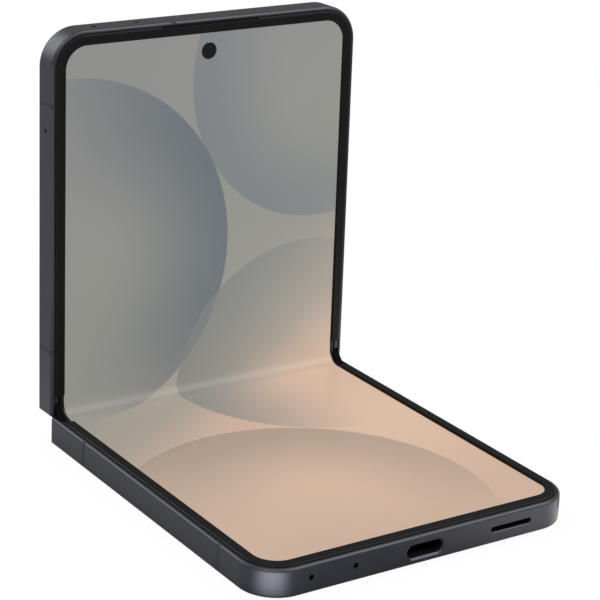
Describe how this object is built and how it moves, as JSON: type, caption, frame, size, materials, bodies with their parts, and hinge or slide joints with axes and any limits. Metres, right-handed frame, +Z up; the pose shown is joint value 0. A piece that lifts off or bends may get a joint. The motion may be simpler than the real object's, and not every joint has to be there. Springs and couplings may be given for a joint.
{
  "type": "foldable smartphone",
  "caption": "Clamshell folding phone, half open: lower half flat on the table, upper half upright, tall bending inner display, cover display and two rear cameras behind.",
  "frame": {"origin": "middle of the lower half's flat rear glass, in its outer face", "axes": "+Z up, out of the lower display; +X to the right as seen by someone facing the display; -Y towards that person, so the fold runs along X at the far end of the lower half"},
  "size_m": [0.0755, 0.0919, 0.0896],
  "materials": {
    "frame": "satin dark anodised",
    "antenna_break": "matt plastic fill",
    "rear_glass": "matt etched glass, opaque",
    "cover_glass": "polished glass over a dark display, opaque",
    "panel_black": "dark display panel",
    "bezel": "matt black soft plastic",
    "display": "lit display under polished film, opaque",
    "battery": "foil pouch",
    "copper": "wound copper",
    "circuit_board": "solder mask",
    "bare_steel": "bare pressed steel",
    "black_plastic": "black moulded plastic",
    "mesh": "black woven mesh",
    "brass_can": "plated can",
    "hinge_steel": "machined steel",
    "gear_brass": "cut brass gears",
    "spine": "satin dark anodised",
    "cap_plastic": "matt black plastic",
    "camera_black": "black barrel",
    "ring_metal": "polished turned ring",
    "lens_glass": "coated dark glass, opaque",
    "flash_plastic": "frosted lens",
    "key_metal": "satin dark anodised"
  },
  "bodies": {
    "lower": {"lower_frame": "frame", "lower_rear_glass": "rear_glass", "lower_bezel": "bezel", "lower_display": "display", "lower_antenna_breaks": "antenna_break", "main_battery": "battery", "charging_coil": "copper", "charging_board": "circuit_board", "socket_shell": "bare_steel", "socket_tongue": "black_plastic", "loudspeaker": "black_plastic", "loudspeaker_mesh": "mesh", "lower_microphones": "brass_can", "vibration_motor": "bare_steel", "lower_hinge_arms": "hinge_steel", "lower_hinge_screws": "bare_steel", "lower_gear_arm": "hinge_steel"},
    "spine": {"spine_cover": "spine", "hinge_end_caps": "cap_plastic", "hinge_blocks": "hinge_steel", "display_fold": "display", "gear_box": "hinge_steel"},
    "upper": {"upper_frame": "frame", "upper_antenna_breaks": "antenna_break", "cover_glass": "cover_glass", "cover_display": "panel_black", "upper_bezel": "bezel", "upper_display": "display", "second_battery": "battery", "main_board": "circuit_board", "earpiece": "black_plastic", "earpiece_mesh": "mesh", "upper_microphones": "brass_can", "upper_hinge_arms": "hinge_steel", "upper_hinge_screws": "bare_steel", "upper_gear_arm": "hinge_steel", "board_shield": "bare_steel", "front_camera": "camera_black", "wide_camera": "camera_black", "ultrawide_camera": "camera_black", "camera_rings": "ring_metal", "camera_windows": "lens_glass", "flash_window": "flash_plastic", "card_reader": "bare_steel", "key_switches": "bare_steel"},
    "first_pinion": {"first_pinion": "gear_brass"},
    "second_pinion": {"second_pinion": "gear_brass"},
    "third_pinion": {"third_pinion": "gear_brass"},
    "fourth_pinion": {"fourth_pinion": "gear_brass"},
    "volume_key": {"volume_key": "key_metal"},
    "side_key": {"side_key": "key_metal"},
    "card_tray": {"card_tray": "key_metal"}
  },
  "joints": [
    {"name": "fold_lower", "type": "hinge", "parent": "lower", "child": "spine", "pos_m": [0, 0.04165, 0.0056], "axis": [1, 0, 0], "range_deg": [-44.5, 45.5], "deforming": ["display_fold"]},
    {"name": "fold_upper", "type": "hinge", "parent": "spine", "child": "upper", "pos_m": [0, 0.04308, 0.007], "axis": [1, 0, 0], "range_deg": [-44.5, 45.5]},
    {"name": "volume_rock", "type": "hinge", "parent": "upper", "child": "volume_key", "pos_m": [0.03502, 0.04685, 0.06294], "axis": [0, -0.9998, 0.0175], "range_deg": [-1.3, 1.3], "stiffness_Nm_per_rad": 0.7},
    {"name": "side_key_press", "type": "slide", "parent": "upper", "child": "side_key", "axis": [-1, 0, 0], "range_m": [0, 0.00025], "stiffness_N_per_m": 8000},
    {"name": "tray_slide", "type": "slide", "parent": "upper", "child": "card_tray", "axis": [-1, 0, 0], "range_m": [0, 0.016]},
    {"name": "first_pinion_turn", "type": "hinge", "parent": "spine", "child": "first_pinion", "pos_m": [0, 0.04445, 0.00681], "axis": [1, 0, 0], "range_deg": [-144.62, 147.88]},
    {"name": "second_pinion_turn", "type": "hinge", "parent": "spine", "child": "second_pinion", "pos_m": [0, 0.04357, 0.00595], "axis": [1, 0, 0], "range_deg": [-147.88, 144.62]},
    {"name": "third_pinion_turn", "type": "hinge", "parent": "spine", "child": "third_pinion", "pos_m": [0, 0.04269, 0.00509], "axis": [1, 0, 0], "range_deg": [-144.62, 147.88]},
    {"name": "fourth_pinion_turn", "type": "hinge", "parent": "spine", "child": "fourth_pinion", "pos_m": [0, 0.04181, 0.00422], "axis": [1, 0, 0], "range_deg": [-147.88, 144.62]}
  ],
  "couplings": [
    {"joint": "fold_upper", "follows": "fold_lower", "ratio": 1},
    {"joint": "first_pinion_turn", "follows": "fold_lower", "ratio": 3.25},
    {"joint": "second_pinion_turn", "follows": "fold_lower", "ratio": -3.25},
    {"joint": "third_pinion_turn", "follows": "fold_lower", "ratio": 3.25},
    {"joint": "fourth_pinion_turn", "follows": "fold_lower", "ratio": -3.25}
  ]
}
